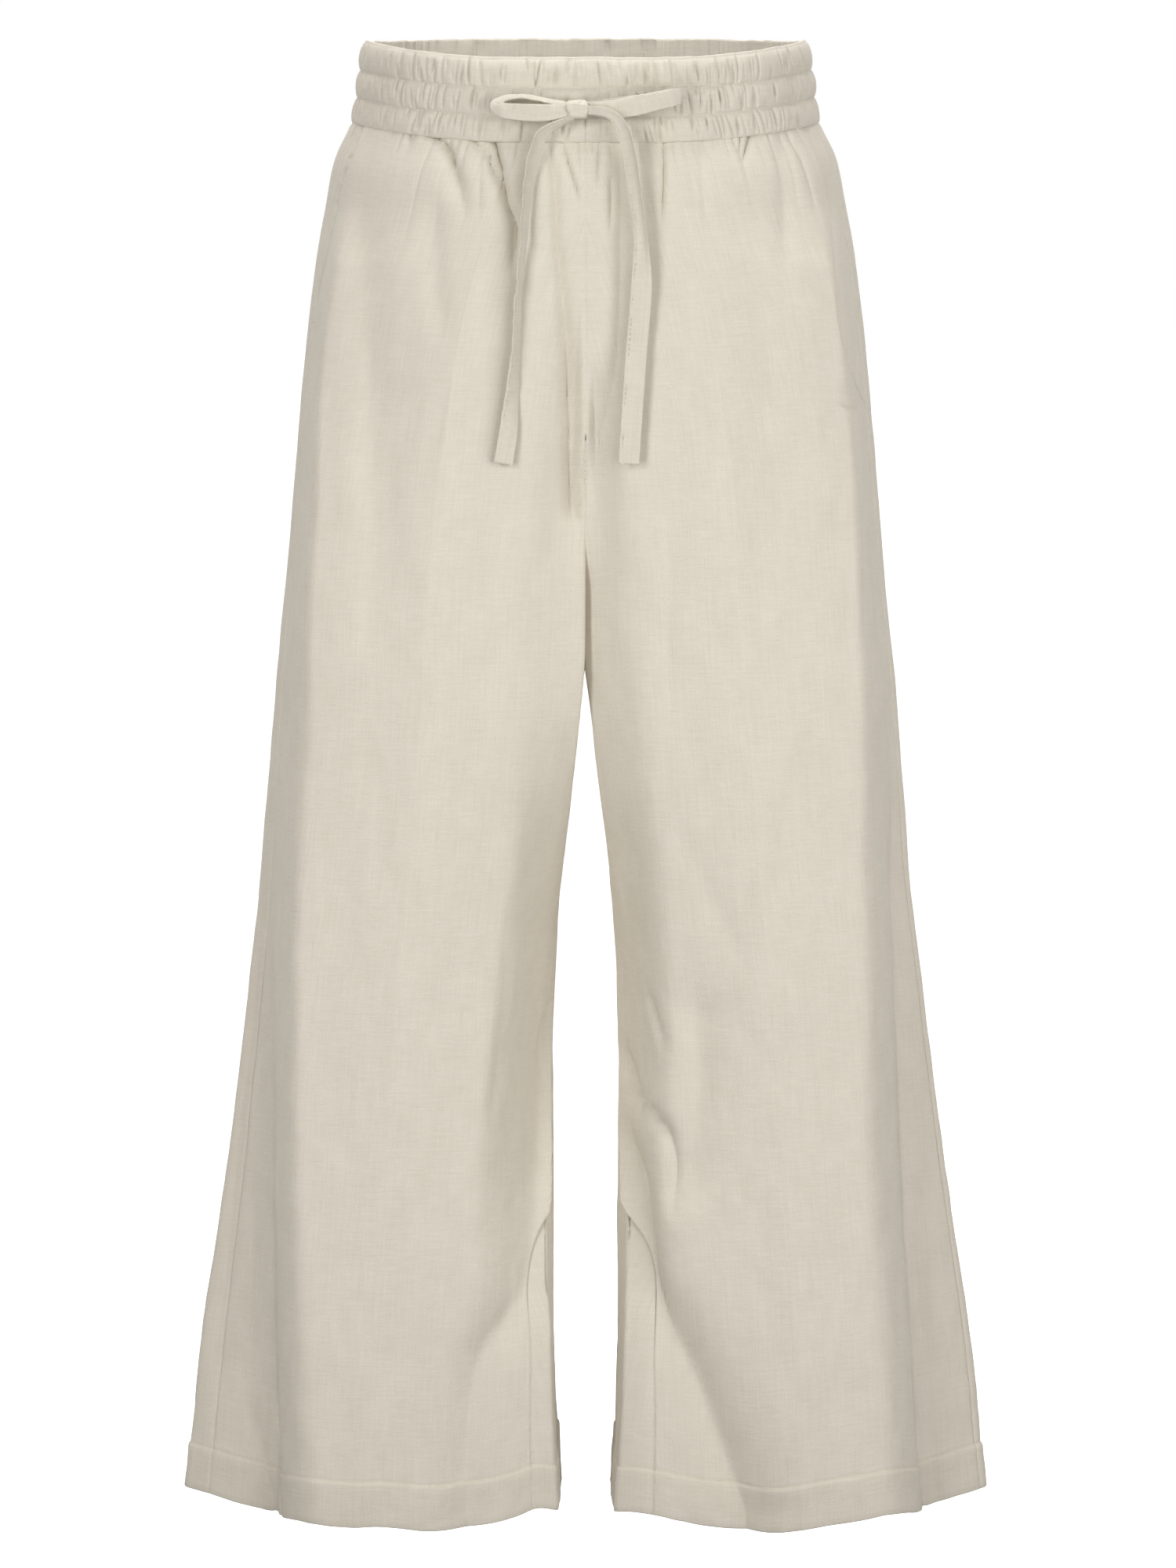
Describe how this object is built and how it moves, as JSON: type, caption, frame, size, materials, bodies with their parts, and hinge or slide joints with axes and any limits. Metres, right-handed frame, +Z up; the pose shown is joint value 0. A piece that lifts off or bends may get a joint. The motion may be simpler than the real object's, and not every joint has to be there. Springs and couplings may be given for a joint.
{
  "type": "wide-leg drawstring trousers",
  "caption": "Pull-on wide-leg linen trousers with an elasticated channelled waist, a bow-tied drawstring, side pockets and open flared hems.",
  "frame": {"origin": "centre of the waist opening, at the height where the elasticated band grips the wearer at the sides", "axes": "+Z up, from hems to waist; the garment's front faces -Y; the wearer's left side is +X"},
  "size_m": [0.5256, 0.245, 0.9725],
  "materials": {
    "linen": "plain-woven oatmeal linen, matt, with slubs and a soft crumple",
    "waistband": "the same linen, gathered tightly over elastic in three stitched channels",
    "drawstring": "the same linen, folded into a flat strip and edge-stitched"
  },
  "bodies": {
    "root": {"front_left": "linen", "front_right": "linen", "back_left": "linen", "back_right": "linen", "pocket_facing_left": "linen", "pocket_facing_right": "linen", "waistband": "waistband", "drawstring_knot": "drawstring", "drawstring_loop_left": "drawstring", "drawstring_loop_right": "drawstring", "drawstring_tail_left": "drawstring", "drawstring_tail_right": "drawstring"}
  },
  "joints": []
}
